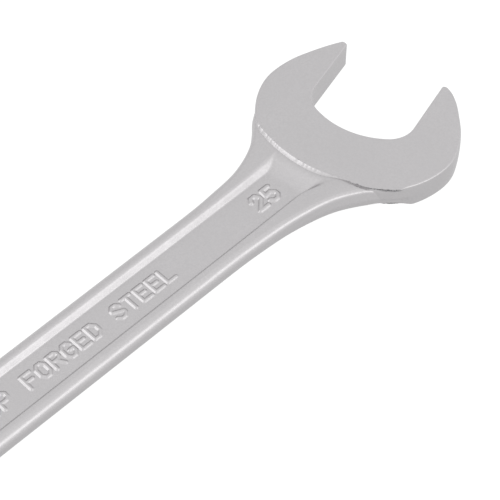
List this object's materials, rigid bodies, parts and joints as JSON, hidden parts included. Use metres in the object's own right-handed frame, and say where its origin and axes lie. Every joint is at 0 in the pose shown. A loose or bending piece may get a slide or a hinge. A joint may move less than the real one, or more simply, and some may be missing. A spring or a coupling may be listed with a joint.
{
  "type": "combination wrench",
  "caption": "Combination wrench: 15 degree open jaw and tilted 12-point ring of one nut size, on a flat shank with a recessed panel and a flared neck.",
  "frame": {"origin": "axis of the nut held in the open jaw, at half the head's thickness", "axes": "+X along the shank from the ring to the open end, +Z out of the face with the size mark and grade mark, the way the ring is tilted up"},
  "size_m": [0.2853, 0.0481, 0.0198],
  "materials": {
    "satin_chrome": "satin chrome plate on forged steel"
  },
  "bodies": {
    "root": {"open_jaw_head": "satin_chrome", "shank_web": "satin_chrome", "root_web": "satin_chrome", "neck_web": "satin_chrome", "shank_left_rim": "satin_chrome", "neck_left_rim": "satin_chrome", "shank_right_rim": "satin_chrome", "neck_right_rim": "satin_chrome", "ring_head": "satin_chrome", "upper_size_mark": "satin_chrome", "upper_grade_mark": "satin_chrome", "lower_size_mark": "satin_chrome"}
  },
  "joints": []
}
